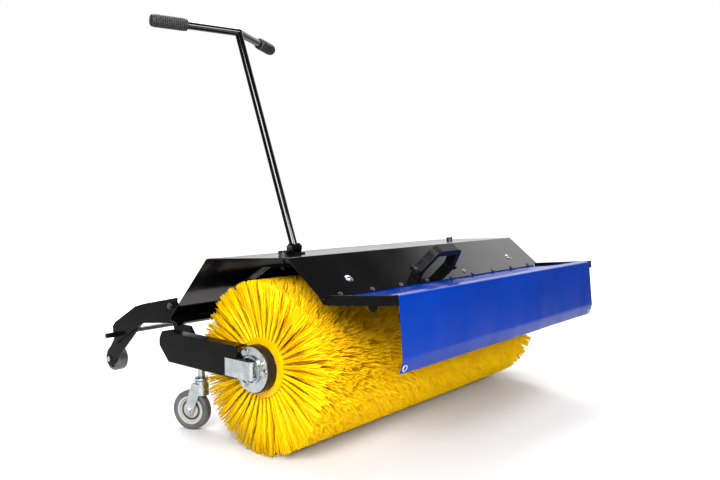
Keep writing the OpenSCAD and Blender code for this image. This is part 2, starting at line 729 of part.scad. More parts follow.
module bevel(bore) rotate_extrude() polygon([
    [bore, gear_start], [gear_start - 0.5, gear_start], [gear_r - 0.5, gear_r],
    [gear_r - 3, gear_r + 4], [bore, gear_r + 4]]);
module bevel_gear_out() color("#8d9094") placed() at_yz(cross_y, cross_z)
    rotate([0, 90, 0]) bevel(cross_r);
module bevel_gear_in() color("#8d9094") placed() at_yz(cross_y, cross_z)
    rotate([-90, 0, 0]) bevel(0.01);
// The journal runs in the cover, and the free end carries a keyway along its length
module input_shaft() color("#b8bbc0") placed() at_yz(0, cross_z) {
    start = cross_y + gear_r + 4;
    journal_end = gear_back + 20;
    translate([0, start, 0]) rotate([-90, 0, 0]) cylinder(r = journal_r, h = journal_end - start);
    difference() {
        translate([0, journal_end, 0]) rotate([-90, 0, 0]) cylinder(r = input_r, h = input_len);
        translate([-4, journal_end, input_r - 3.5]) cube([8, input_len + 1, 8]);
    }
}
module cross_shaft() color("#b8bbc0") placed() at_yz(cross_y, cross_z)
    bar_x(cross_r, -gear_half + 1, case_x - 14);

case_wall = 3;
case_plate = 4;
chain_x = case_x - 30;
case_len = norm([cross_y, cross_z - axis_z]);
module on_belt() at_yz(0, axis_z) rotate([atan2(cross_z - axis_z, cross_y), 0, 0]) children();
module belt_x(r1, r2, x0, x1) on_belt() along_x(x0, x1) polygon(belt_points(r1, r2, case_len));
module chain_case() color("#1c1c1e") placed() difference() {
    belt_x(sprocket_big + 20, sprocket_small + 20, arm_x, case_x - case_plate);
    belt_x(sprocket_big + 20 - case_wall, sprocket_small + 20 - case_wall, arm_x + case_wall, case_x);
    at_yz(0, axis_z) bar_x(shaft_r + 2, arm_x - 1, arm_x + case_wall + 1);
    at_yz(cross_y, cross_z) bar_x(cross_r + run_gap, arm_x - 1, arm_x + case_wall + 1);
}
module chain_cover() color("#1c1c1e") placed()
    belt_x(sprocket_big + 20, sprocket_small + 20, case_x - case_plate, case_x);
module drive_chain() color("#5b5d60") placed() on_belt() difference() {
    along_x(chain_x - 5, chain_x + 5) polygon(belt_points(sprocket_big + 4, sprocket_small + 4, case_len));
    along_x(chain_x - 6, chain_x + 6) polygon(belt_points(sprocket_big - 3, sprocket_small - 3, case_len));
}
// A sprocket web that turns inside the chain loop
module sprocket(r, bore) difference() {
    union() {
        bar_x(r - 3.5, chain_x - 3, chain_x + 3);
        bar_x(bore + 9, chain_x - 12, chain_x + 12);
    }
    bar_x(bore, chain_x - 13, chain_x + 13);
}
module brush_sprocket() color("#8d9094") placed() at_yz(0, axis_z) sprocket(sprocket_big, shaft_r);
module drive_sprocket() color("#8d9094") placed() at_yz(cross_y, cross_z) sprocket(sprocket_small, cross_r);

// ---- casters ----

module at_caster(side) translate([side * caster_x, caster_y, 0]) rotate([0, 0, caster_turn]) children();
module at_wheel(side) at_caster(side) translate([0, caster_trail, caster_r]) children();
leg_in = tyre_w / 2 + 4;
leg_t = 3;
head_r = 23;
module caster_stems() color("#c9ccd0") placed() for (side = [-1, 1]) at_caster(side)
    rotate_extrude() polygon([[0, fork_z - 5], [11, fork_z - 5], [11, fork_z - 0.5], [7, fork_z - 0.5],
                              [7, stem_low], [22, stem_low], [22, stem_low + 7], [19, stem_low + 10],
                              [11, stem_low + 10], [11, beam_low], [0, beam_low]]);
module caster_fork(side) at_caster(side) {
    difference() {
        union() {
            translate([0, 0, fork_z]) cylinder(r = head_r, h = 3);
            translate([0, 0, fork_z + 3]) cylinder(r = 20, h = 8);
            translate([0, 0, fork_z - 34]) difference() {
                cylinder(r = head_r, h = 34);
                translate([0, 0, -1]) cylinder(r = leg_in, h = 36);
                translate([-50, 0, -1]) cube([100, 50, 36]);
            }
        }
        translate([0, 0, fork_z - 1]) cylinder(r = 7 + run_gap, h = 14);
        translate([-50, -50, fork_z - 40]) cube([100, 14, 12]);
    }
    for (x = [-leg_in - leg_t, leg_in]) difference() {
        along_x(x, x + leg_t) polygon(concat(
            [[0, fork_z + 3], [head_r, fork_z + 3]],
            [for (a = [10 : -20 : -150]) [caster_trail, caster_r] + 14 * [cos(a), sin(a)]],
            [[0, fork_z - 40]]));
        translate([0, caster_trail, caster_r]) bar_x(axle_r, x - 1, x + leg_t + 1);
    }
    translate([-leg_in - leg_t, head_r - 3, fork_z]) cube([2 * (leg_in + leg_t), 3, 3]);
}
module caster_fork_left() color("#d6d8db") placed() caster_fork(-1);
module caster_fork_right() color("#d6d8db") placed() caster_fork(1);

module caster_axle(side) at_wheel(side) {
    reach = leg_in + leg_t;
    bar_x(axle_r, -reach, reach + 4);
    translate([-reach, 0, 0]) rotate([0, -90, 0]) hex(17, 6);
    translate([reach, 0, 0]) rotate([0, 90, 0]) hex(17, 6);
}
module caster_axle_left() color("#c9ccd0") placed() caster_axle(-1);
module caster_axle_right() color("#c9ccd0") placed() caster_axle(1);

rim_r = caster_r - 18;
module caster_hub(side) at_wheel(side) rotate([0, 90, 0]) rotate_extrude()
    polygon([[axle_r + run_gap, -leg_in + 0.5], [13, -leg_in + 0.5], [17, -tyre_w / 2 + 6],
             [rim_r - 9, -tyre_w / 2 + 8], [rim_r - 6, -tyre_w / 2 + 2], [rim_r, -tyre_w / 2 + 2],
             [rim_r, tyre_w / 2 - 2], [rim_r - 6, tyre_w / 2 - 2], [rim_r - 9, tyre_w / 2 - 8],
             [17, tyre_w / 2 - 6], [13, leg_in - 0.5], [axle_r + run_gap, leg_in - 0.5]]);
module caster_hub_left() color("#b9babb") placed() caster_hub(-1);
module caster_hub_right() color("#b9babb") placed() caster_hub(1);

module caster_tyre(side) at_wheel(side) rotate([0, 90, 0]) rotate_extrude()
    polygon(concat([[rim_r, tyre_w / 2 - 3], [rim_r, -tyre_w / 2 + 3]],
        [for (a = [-90 : 15 : 0]) [caster_r - 9, -tyre_w / 2 + 9] + 9 * [cos(a), sin(a)]],
        [for (a = [0 : 15 : 90]) [caster_r - 9, tyre_w / 2 - 9] + 9 * [cos(a), sin(a)]]));
module caster_tyre_left() color("#6d6e70") placed() caster_tyre(-1);
module caster_tyre_right() color("#6d6e70") placed() caster_tyre(1);

// ---- hitch frame ----

module hitch_arm() difference() {
    at_yz(pivot_y, pivot_z) {
        along_x(-hitch_x, -leg_x) polygon([
            [-28, 30], [155, -7], [212, -22], [343, -92], [360, -110], [359, -128],
            [350, -163], [340, -171], [318, -156], [166, -76], [15, -58], [-22, -54]]);
        along_x(-leg_x, -leg_x + hitch_t) polygon([
            [186, -83], [220, -50], [340, -128], [394 + 18, -235 + 18], [394 - 17, -235 - 19], [297, -182]]);
    }
    at_yz(pivot_y, pivot_z) bar_x(pivot_r + run_gap, -hitch_x - 1, -leg_x + 1);
    at_yz(roller_y, roller_z) bar_x(axle_r, -leg_x - 1, -leg_x + hitch_t + 1);
    at_yz(pivot_y + 340, pivot_z - 137) bar_x(pin_d / 2 - 2, -hitch_x - 1, -leg_x + 1);
}
module leg_end() difference() {
    at_yz(roller_y, roller_z) bar_x(25, -leg_x, -leg_x + hitch_t);
    at_yz(roller_y, roller_z) bar_x(axle_r, -leg_x - 1, -leg_x + hitch_t + 1);
}
module hitch_arm_left() color("#1c1c1e") placed() {
    hitch_arm();
    leg_end();
}
module hitch_arm_right() color("#1c1c1e") placed() right_side() {
    hitch_arm();
    leg_end();
}
module hitch_rod() color("#77797c") placed() at_yz(pivot_y + 232, pivot_z - 109)
    bar_x(rod_d / 2, -leg_x + hitch_t, leg_x - hitch_t);
module hitch_pins() color("#1c1c1e") placed() for (side = [0, 1]) mirror([side, 0, 0])
    at_yz(pivot_y + 340, pivot_z - 137) {
        bar_x(pin_d / 2, -hitch_x - pin_len, -hitch_x);
        bar_x(pin_d / 2 - 2, -hitch_x, -leg_x);
    }
module hitch_bolts() color("#4a4b4e") placed() for (side = [0, 1]) mirror([side, 0, 0])
    at_yz(pivot_y, pivot_z) {
        bar_x(pivot_r, -hitch_x - 1, -leg_x + lug_t + 6);
        translate([-hitch_x - 1, 0, 0]) rotate([0, -90, 0]) hex(19, 9);
        translate([-leg_x + lug_t, 0, 0]) rotate([0, 90, 0]) hex(19, 8);
    }
module roller() at_yz(roller_y, roller_z) translate([-roller_x, 0, 0]) rotate([0, 90, 0])
    rotate_extrude() polygon(concat(
        [[axle_r + run_gap, 0], [14, 0], [16, 8], [roller_d / 2 - 14, 8], [roller_d / 2 - 12, 1]],
        [for (a = [-90 : 15 : 0]) [roller_d / 2 - 7, 8] + 7 * [cos(a), sin(a)]],
        [for (a = [0 : 15 : 90]) [roller_d / 2 - 7, roller_w - 8] + 7 * [cos(a), sin(a)]],
        [[roller_d / 2 - 12, roller_w - 1], [roller_d / 2 - 14, roller_w - 8], [16, roller_w - 8],
         [14, roller_w], [axle_r + run_gap, roller_w]]));
module roller_left() color("#3a3b3d") placed() roller();
module roller_right() color("#3a3b3d") placed() right_side() roller();
module roller_bolts() color("#d6d8db") placed() for (side = [0, 1]) mirror([side, 0, 0])
    at_yz(roller_y, roller_z) {
        bar_x(axle_r, -leg_x, -roller_x + roller_w + 8);
        bar_x(10, -leg_x + hitch_t, -roller_x - 1);
        translate([-leg_x, 0, 0]) rotate([0, -90, 0]) hex(19, 7);
        translate([-roller_x + roller_w + 1, 0, 0]) rotate([0, 90, 0]) hex(19, 6);
    }

arm_left();
arm_right();
rear_beam();
hood();
hood_arch_left();
hood_arch_right();
hood_bolts();
clamp_knobs();
flap_bracket_left();
flap_bracket_right();
flap_bar();
tarp_top();
hood_screws();
grab_handle();
handle_foot();
handle_bolt();
hub_bracket();
hub_disc_left();
hub_disc_right();
hub_bolts();
bearing_housing_left();
bearing_housing_right();
hub_bearings();
chain_case();
chain_cover();
drive_chain();
gearbox_case();
gearbox_cover();
caster_stems();
brush_core();
brush_rings();
bristles();
brush_shafts();
brush_sprocket();
cross_shaft();
drive_sprocket();
bevel_gear_out();
input_shaft();
bevel_gear_in();
caster_fork_left();
caster_fork_right();
caster_axle_left();
caster_axle_right();
caster_hub_left();
caster_hub_right();
caster_tyre_left();
caster_tyre_right();
hitch_arm_left();
hitch_arm_right();
hitch_rod();
hitch_pins();
hitch_bolts();
roller_left();
roller_right();
roller_bolts();
handle_tee();
grip_left();
grip_right();
tarp_curtain();
grommets();
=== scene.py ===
from math import cos, pi, radians, sin, tan

import bpy
import numpy as np
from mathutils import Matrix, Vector


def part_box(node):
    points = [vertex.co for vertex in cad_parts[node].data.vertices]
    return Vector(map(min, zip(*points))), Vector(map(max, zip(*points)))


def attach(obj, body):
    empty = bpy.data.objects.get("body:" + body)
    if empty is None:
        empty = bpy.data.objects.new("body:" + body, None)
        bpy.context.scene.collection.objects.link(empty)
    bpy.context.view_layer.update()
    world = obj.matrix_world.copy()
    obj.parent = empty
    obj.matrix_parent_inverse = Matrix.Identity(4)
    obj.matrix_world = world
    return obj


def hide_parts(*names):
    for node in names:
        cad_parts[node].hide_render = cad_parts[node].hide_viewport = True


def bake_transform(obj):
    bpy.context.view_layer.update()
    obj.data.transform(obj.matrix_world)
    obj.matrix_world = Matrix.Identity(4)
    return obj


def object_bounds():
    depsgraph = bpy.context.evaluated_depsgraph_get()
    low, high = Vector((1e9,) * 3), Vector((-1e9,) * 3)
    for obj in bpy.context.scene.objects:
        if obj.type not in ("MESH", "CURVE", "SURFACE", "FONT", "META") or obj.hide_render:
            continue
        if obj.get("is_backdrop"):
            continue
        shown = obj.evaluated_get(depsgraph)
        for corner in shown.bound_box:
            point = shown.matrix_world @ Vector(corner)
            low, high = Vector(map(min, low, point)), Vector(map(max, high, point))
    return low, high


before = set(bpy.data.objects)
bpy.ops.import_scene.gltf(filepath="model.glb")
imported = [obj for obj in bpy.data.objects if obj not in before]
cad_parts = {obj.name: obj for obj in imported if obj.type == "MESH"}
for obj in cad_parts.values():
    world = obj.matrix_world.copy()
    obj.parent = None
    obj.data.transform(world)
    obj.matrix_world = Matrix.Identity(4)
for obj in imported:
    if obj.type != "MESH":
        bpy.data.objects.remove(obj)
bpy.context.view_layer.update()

rng = np.random.default_rng(20)

# ---- Studio ----
# A pale floor in front of a lit paper backdrop that stands behind the machine and round to its
# right. The rest of the room is dim and its ceiling dark, but for a lamp overhead and others
# from the left and the front.
FLOOR_HALF = 40.0
BACKDROP_MIDDLE = radians(37.0)
BACKDROP_EDGE = cos(radians(53.0))
BACKDROP_SOFT = 0.06
BACKDROP_LIGHT, ROOM_LIGHT = 1.5, 0.10
CEILING_FROM, CEILING_TO, CEILING_LIGHT = 0.50, 0.62, 0.03
SKIRTING_TOP, SKIRTING_LIGHT = 0.40, 0.60
GLOW_FROM, GLOW_TO = 0.6, 2.6

floor_mesh = bpy.data.meshes.new("floor")
floor_mesh.from_pydata([(-FLOOR_HALF, -FLOOR_HALF, 0), (FLOOR_HALF, -FLOOR_HALF, 0),
                        (FLOOR_HALF, FLOOR_HALF, 0), (-FLOOR_HALF, FLOOR_HALF, 0)], [], [(0, 1, 2, 3)])
floor = bpy.data.objects.new("floor", floor_mesh)
bpy.context.scene.collection.objects.link(floor)
floor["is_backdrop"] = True


def chain(tree, *links):
    """Joins each pair of sockets in a node tree."""
    for here, there in links:
        tree.links.new(here, there)


def ranged(tree, low, high, to_low, to_high, blending="SMOOTHSTEP"):
    """A Map Range node that spreads low..high over to_low..to_high, with soft ends as it stands."""
    node = tree.nodes.new("ShaderNodeMapRange")
    node.interpolation_type = blending
    for key, number in zip(("From Min", "From Max", "To Min", "To Max"),
                           (low, high, to_low, to_high)):
        node.inputs[key].default_value = number
    return node


floor_paint = bpy.data.materials.new("floor_paint")
floor_paint.use_nodes = True
tree = floor_paint.node_tree
floor_shader = tree.nodes["Principled BSDF"]
floor_shader.inputs["Base Color"].default_value = (0.66, 0.66, 0.665, 1)
floor_shader.inputs["Roughness"].default_value = 0.6
floor_shader.inputs["Emission Color"].default_value = (1, 1, 1, 1)
floor_place = tree.nodes.new("ShaderNodeTexCoord")
floor_reach = tree.nodes.new("ShaderNodeVectorMath")
floor_reach.operation = "LENGTH"
floor_glow = ranged(tree, GLOW_FROM, GLOW_TO, 0.0, 1.0)
floor_seen = tree.nodes.new("ShaderNodeLightPath")
floor_gain = tree.nodes.new("ShaderNodeMath")
floor_gain.operation = "MULTIPLY"
chain(tree, (floor_place.outputs["Object"], floor_reach.inputs[0]),
      (floor_reach.outputs["Value"], floor_glow.inputs["Value"]),
      (floor_glow.outputs["Result"], floor_gain.inputs[0]),
      (floor_seen.outputs["Is Camera Ray"], floor_gain.inputs[1]),
      (floor_gain.outputs[0], floor_shader.inputs["Emission Strength"]))
floor_mesh.materials.append(floor_paint)

world = bpy.data.worlds.new("studio")
bpy.context.scene.world = world
world.use_nodes = True
sky = world.node_tree
sky.nodes.clear()
sky_direction = sky.nodes.new("ShaderNodeTexCoord")
sky_split = sky.nodes.new("ShaderNodeSeparateXYZ")
under_ceiling = ranged(sky, CEILING_FROM, CEILING_TO, 1.0, CEILING_LIGHT)
above_skirting = ranged(sky, 0.0, SKIRTING_TOP, SKIRTING_LIGHT, 1.0)
sky_level, sky_heading, sky_toward = (sky.nodes.new("ShaderNodeVectorMath") for _ in range(3))
sky_level.operation, sky_heading.operation = "MULTIPLY", "NORMALIZE"
sky_toward.operation = "DOT_PRODUCT"
sky_level.inputs[1].default_value = (1, 1, 0)
sky_toward.inputs[1].default_value = (cos(BACKDROP_MIDDLE), sin(BACKDROP_MIDDLE), 0)
in_backdrop = ranged(sky, BACKDROP_EDGE - BACKDROP_SOFT, BACKDROP_EDGE + BACKDROP_SOFT,
                     ROOM_LIGHT, BACKDROP_LIGHT)
sky_height, sky_strength = sky.nodes.new("ShaderNodeMath"), sky.nodes.new("ShaderNodeMath")
sky_height.operation = sky_strength.operation = "MULTIPLY"
sky_light, sky_seen = (sky.nodes.new("ShaderNodeBackground") for _ in range(2))
for background in (sky_light, sky_seen):
    background.inputs["Color"].default_value = (1, 1, 1, 1)
sky_path, sky_mix = sky.nodes.new("ShaderNodeLightPath"), sky.nodes.new("ShaderNodeMixShader")
sky_out = sky.nodes.new("ShaderNodeOutputWorld")
chain(sky, (sky_direction.outputs["Generated"], sky_split.inputs[0]),
      (sky_split.outputs["Z"], under_ceiling.inputs["Value"]),
      (sky_direction.outputs["Generated"], sky_level.inputs[0]),
      (sky_level.outputs[0], sky_heading.inputs[0]),
      (sky_heading.outputs[0], sky_toward.inputs[0]),
      (sky_toward.outputs["Value"], in_backdrop.inputs["Value"]),
      (in_backdrop.outputs["Result"], sky_strength.inputs[0]),
      (sky_split.outputs["Z"], above_skirting.inputs["Value"]),
      (under_ceiling.outputs["Result"], sky_height.inputs[0]),
      (above_skirting.outputs["Result"], sky_height.inputs[1]),
      (sky_height.outputs[0], sky_strength.inputs[1]),
      (sky_strength.outputs[0], sky_light.inputs["Strength"]),
      (sky_path.outputs["Is Camera Ray"], sky_mix.inputs["Fac"]),
      (sky_light.outputs[0], sky_mix.inputs[1]),
      (sky_seen.outputs[0], sky_mix.inputs[2]),
      (sky_mix.outputs[0], sky_out.inputs["Surface"]))


def softbox(name, place, aim, width, height, power):
    """A lamp of this width, height and power in watts at place, pointed at aim."""
    lamp = bpy.data.lights.new(name, "AREA")
    lamp.shape = "RECTANGLE"
    lamp.size, lamp.size_y, lamp.energy = width, height, power
    box = bpy.data.objects.new(name, lamp)
    box.location = place
    box.rotation_euler = (Vector(aim) - Vector(place)).to_track_quat("-Z", "Y").to_euler()
    bpy.context.scene.collection.objects.link(box)


softbox("overhead", (0.5, 1.1, 3.4), (0, 0, 0.2), 3.0, 2.4, 230)
softbox("from_left", (-3.2, -1.9, 2.5), (-0.5, -0.2, 0.3), 1.8, 1.8, 230)
softbox("from_front", (-0.9, -3.9, 2.2), (0, -0.3, 0.3), 2.2, 1.4, 150)
bpy.context.scene.view_settings.view_transform = "Standard"

# ---- Camera ----
# It stands off the left end of the roller at chest height, a little ahead of the flap.
CAMERA_FROM_BRUSH = Vector((-1.9227, -1.4771, 0.4832))
CAMERA_YAW, CAMERA_PITCH = radians(40.0), radians(-3.515)
brush_low, brush_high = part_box("bristles")
brush_middle = (Vector(brush_low) + Vector(brush_high)) / 2
camera = bpy.data.objects.new("camera", bpy.data.cameras.new("camera"))
camera.data.lens, camera.data.sensor_width = 35.0, 36.0
camera.location = brush_middle + CAMERA_FROM_BRUSH
looking = Vector((cos(CAMERA_YAW) * cos(CAMERA_PITCH), sin(CAMERA_YAW) * cos(CAMERA_PITCH),
                  sin(CAMERA_PITCH)))
camera.rotation_euler = looking.to_track_quat("-Z", "Y").to_euler()
bpy.context.scene.collection.objects.link(camera)
bpy.context.scene.camera = camera

# ---- Black powder coat: hood, arms, beam, arches, brackets, hitch, handle and chain case ----
# Folded and welded steel sheet and tube, sprayed and baked. The hood and handle came out glossier
# than the heavy parts, and the film is thinner and shinier along every fold.


def finish(name, colour, roughness, metallic=0.0):
    """A material with these plain values; returns it, its node tree and its Principled shader."""
    made = bpy.data.materials.new(name)
    made.use_nodes = True
    shader = made.node_tree.nodes["Principled BSDF"]
    shader.inputs["Base Color"].default_value = (*colour, 1)
    shader.inputs["Roughness"].default_value = roughness
    shader.inputs["Metallic"].default_value = metallic
    return made, made.node_tree, shader


def noise(tree, scale, detail=3.0, stretch=(1, 1, 1)):
    """Noise over the piece's own coordinates, with each axis stretched by its factor."""
    place = tree.nodes.new("ShaderNodeTexCoord")
    turn = tree.nodes.new("ShaderNodeMapping")
    turn.inputs["Scale"].default_value = stretch
    cloud = tree.nodes.new("ShaderNodeTexNoise")
    cloud.inputs["Scale"].default_value = scale
    cloud.inputs["Detail"].default_value = detail
    chain(tree, (place.outputs["Object"], turn.inputs["Vector"]),
          (turn.outputs["Vector"], cloud.inputs["Vector"]))
    return cloud.outputs["Fac"]


def spread(tree, value, low, high, start=0.35, stop=0.65):
    """The value from start to stop, spread evenly over low to high."""
    node = ranged(tree, start, stop, low, high, "LINEAR")
    tree.links.new(value, node.inputs["Value"])
    return node.outputs["Result"]


def tint(tree, shader, value, first, second, start=0.35, stop=0.65):
    """Colours the shader from first to second as the value goes from start to stop."""
    ramp = tree.nodes.new("ShaderNodeValToRGB")
    near, far = ramp.color_ramp.elements
    near.position, far.position = start, stop
    near.color, far.color = (*first, 1), (*second, 1)
    tree.links.new(value, ramp.inputs["Fac"])
    tree.links.new(ramp.outputs["Color"], shader.inputs["Base Color"])


def roughen(tree, shader, value, low, high):
    """Varies the roughness with the value."""
    tree.links.new(spread(tree, value, low, high), shader.inputs["Roughness"])


def relief(tree, shader, value, height, edge=0.0):
    """Bumps the surface by the value, and rounds sharp edges to the edge radius."""
    bump = tree.nodes.new("ShaderNodeBump")
    bump.inputs["Distance"].default_value = height
    bump.inputs["Strength"].default_value = 1.0
    tree.links.new(value, bump.inputs["Height"])
    if edge > 0:
        rounding = tree.nodes.new("ShaderNodeBevel")
        rounding.samples = 4
        rounding.inputs["Radius"].default_value = edge
        tree.links.new(rounding.outputs["Normal"], bump.inputs["Normal"])
    tree.links.new(bump.outputs["Normal"], shader.inputs["Normal"])


def dress(made, *names):
    """Gives the finish to every material slot of the named CAD nodes."""
    for name in names:
        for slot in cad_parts[name].material_slots:
            slot.material = made


hood_paint, tree, shader = finish("hood_gloss_black", (0.002, 0.002, 0.0021), 0.10)
roughen(tree, shader, noise(tree, 6, 4), 0.07, 0.14)
relief(tree, shader, noise(tree, 420, 2), 0.000012, 0.0012)
dress(hood_paint, "hood", "handle_tee")

frame_paint, tree, shader = finish("frame_satin_black", (0.003, 0.003, 0.0032), 0.26)
tint(tree, shader, noise(tree, 30), (0.0025, 0.0025, 0.0027), (0.004, 0.004, 0.0042))
roughen(tree, shader, noise(tree, 9, 4), 0.18, 0.30)
shader.inputs["Specular IOR Level"].default_value = 0.06
relief(tree, shader, noise(tree, 700, 2), 0.00002, 0.0012)
dress(frame_paint, "arm_left", "arm_right", "rear_beam", "hood_arch_left", "hood_arch_right",
      "flap_bracket_left", "flap_bracket_right", "flap_bar", "handle_foot", "hitch_arm_left",
      "hitch_arm_right", "hitch_pins", "chain_case", "chain_cover")

# ---- Zinc-plated pieces: end discs, hub bracket, bolts, casters' forks and kingpins ----
# Bright blue-white plate over pressed and turned steel, with a cloudy bloom left by the bath.
zinc, tree, shader = finish("bright_zinc", (0.44, 0.465, 0.47), 0.3, 1.0)
tint(tree, shader, noise(tree, 40, 5), (0.36, 0.39, 0.395), (0.48, 0.505, 0.505))
roughen(tree, shader, noise(tree, 60, 4), 0.22, 0.36)
relief(tree, shader, noise(tree, 260, 3), 0.00003, 0.0012)
dress(zinc, "hub_disc_left", "hub_disc_right", "hub_bracket", "hub_bolts", "hood_bolts",
      "caster_stems", "caster_fork_left", "caster_fork_right", "caster_axle_left", "caster_axle_right",
      "roller_bolts")

# ---- Bare machined steel: shafts, sprockets, gears, bearings, core tube and chain ----
# Turned along their length, so the tool's fine rings run round every shaft.
bare_steel, tree, shader = finish("turned_steel", (0.50, 0.51, 0.53), 0.3, 1.0)
tint(tree, shader, noise(tree, 20, 4), (0.40, 0.41, 0.43), (0.58, 0.59, 0.60))
relief(tree, shader, noise(tree, 300, 2, stretch=(6, 0.4, 0.4)), 0.00002, 0.0006)
roughen(tree, shader, noise(tree, 40), 0.22, 0.40)
dress(bare_steel, "hub_bearings", "drive_chain", "brush_core", "brush_shafts", "brush_sprocket",
      "cross_shaft", "drive_sprocket", "bevel_gear_out", "input_shaft", "bevel_gear_in")

rod_paint, tree, shader = finish("rod_grey_enamel", (0.07, 0.07, 0.073), 0.3)
roughen(tree, shader, noise(tree, 30), 0.2, 0.4)
relief(tree, shader, noise(tree, 500), 0.00002, 0.0006)
dress(rod_paint, "hitch_rod")

# ---- Blackened fasteners: wing knobs, pan screws, hitch bolts ----
# Oil-blackened steel, worn to grey on the corners where a spanner or a hand turns them.
blackened, tree, shader = finish("oil_blackened_steel", (0.05, 0.05, 0.052), 0.4, 0.6)
tint(tree, shader, noise(tree, 120, 4), (0.025, 0.025, 0.027), (0.11, 0.11, 0.115))
relief(tree, shader, noise(tree, 600), 0.00004, 0.0008)
dress(blackened, "clamp_knobs", "hood_screws", "hitch_bolts", "handle_bolt")

# ---- Gearbox ----
# A sand-cast iron box with a bolted cover, brushed over with dark enamel.
casting, tree, shader = finish("enamelled_casting", (0.03, 0.03, 0.032), 0.5)
tint(tree, shader, noise(tree, 60, 4), (0.02, 0.02, 0.021), (0.045, 0.045, 0.048))
relief(tree, shader, noise(tree, 340, 4), 0.00025, 0.0025)
dress(casting, "gearbox_case", "gearbox_cover")

# ---- Moulded black plastic: grab handle and dust housings ----
# Glass-filled nylon with a fine spark-eroded grain from its mould.
nylon, tree, shader = finish("black_nylon", (0.005, 0.005, 0.0053), 0.42)
shader.inputs["Specular IOR Level"].default_value = 0.3
roughen(tree, shader, noise(tree, 25), 0.34, 0.48)
relief(tree, shader, noise(tree, 1100, 3), 0.00004, 0.0015)
dress(nylon, "grab_handle", "bearing_housing_left", "bearing_housing_right")

# ---- Bristle rings ----
# Forty moulded rings threaded on the core tube, each with a slightly uneven amber-yellow skin.
ring_plastic, tree, shader = finish("ring_yellow_plastic", (0.78, 0.44, 0.0), 0.4)
shader.inputs["Specular IOR Level"].default_value = 0.15
tint(tree, shader, noise(tree, 35, 4), (0.70, 0.38, 0.0), (0.80, 0.46, 0.0))
relief(tree, shader, noise(tree, 240, 3), 0.00008, 0.0018)
dress(ring_plastic, "brush_rings")

# ---- Bristles ----
# Polypropylene filaments 2.6 mm thick, set in each ring in tufts that stand in two rows and fan
# out towards their cut tips. Eight meshes hold five rings each, so that none grows too large.
RINGS, RUNS = 40, 8
TUFTS, FILAMENTS = 84, 19
FILAMENT_RADIUS = 0.0013
ROOT_RADIUS = 0.080
TUFT_ROWS, ROW_CLOSING = 0.0075, 0.3
RING_STAGGER = 0.6
TUFT_LEAN, TUFT_DRIFT = 0.020, 0.0030
ROOT_SPREAD = 0.034
FILAMENT_LEAN, FILAMENT_DRIFT = 0.022, 0.0075
WAVER = 0.001
TIP_GAP, CUT_UNEVEN = 0.0005, 0.016
END_FLARES = ((0.008, 0.024), (0.003, 0.014), (0.0, 0.006))
END_REACH = 0.0105
SHADE, TUFT_SHADE, FILAMENT_SHADE = 0.55, 0.17, 0.16
brush_radius = (brush_high[2] - brush_low[2]) / 2
ring_low, ring_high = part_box("brush_rings")
ring_pitch = (ring_high[0] - ring_low[0]) / RINGS

bristle_plastic, tree, shader = finish("bristle_yellow", (0.98, 0.70, 0.0), 0.42)
along = tree.nodes.new("ShaderNodeUVMap")
along.uv_map = "OFBake"
split = tree.nodes.new("ShaderNodeSeparateXYZ")
tree.links.new(along.outputs["UV"], split.inputs[0])
tint(tree, shader, split.outputs["X"], (0.94, 0.50, 0.0), (1.0, 0.66, 0.0), 0.0, 0.8)
shader.inputs["Specular IOR Level"].default_value = 0.10


def across(line):
    """Two unit vectors at right angles to each line and to each other."""
    side = np.cross(line, (1.0, 0.02, 0.01))
    side /= np.linalg.norm(side, axis=1, keepdims=True)
    return side, np.cross(line, side) / np.linalg.norm(line, axis=1, keepdims=True)


def filament_mesh(name, stations, shade):
    """Three-sided rods through each filament's stations, with a cap on the tip. The corners of
    station k are the station's point plus the radius times (cos, sin) of thirds of a turn along
    two crosswise vectors."""
    count, steps = stations.shape[:2]
    side, other = across(stations[:, -1] - stations[:, 0])
    turns = 2 * pi * np.arange(3) / 3
    ring = FILAMENT_RADIUS * (np.cos(turns)[None, :, None] * side[:, None]
                              + np.sin(turns)[None, :, None] * other[:, None])
    points = (stations[:, :, None] + ring[:, None]).reshape(-1, 3)
    first = (np.arange(count) * steps * 3)[:, None, None]
    step, turn = np.meshgrid(np.arange(steps - 1) * 3, np.arange(3), indexing="ij")
    here, beside = (step + turn).ravel(), (step + (turn + 1) % 3).ravel()
    quads = first + np.stack([here, beside, beside + 3, here + 3], axis=1)[None]
    caps = first[:, 0] + 3 * (steps - 1) + np.arange(3)[None]
    mesh = bpy.data.meshes.new(name)
    mesh.from_pydata(points, [], quads.reshape(-1, 4).tolist() + caps.tolist())
    mesh.polygons.foreach_set("use_smooth", np.ones(len(mesh.polygons), bool))
    corner = np.empty(len(mesh.loops), np.int32)
    mesh.loops.foreach_get("vertex_index", corner)
    height = (corner // 3) % steps / (steps - 1)
    flat = np.stack([shade[corner // (3 * steps)], 0.02 + 0.96 * height], axis=1)
    mesh.uv_layers.new(name="OFBake").uv.foreach_set("vector", flat.ravel())
    return mesh


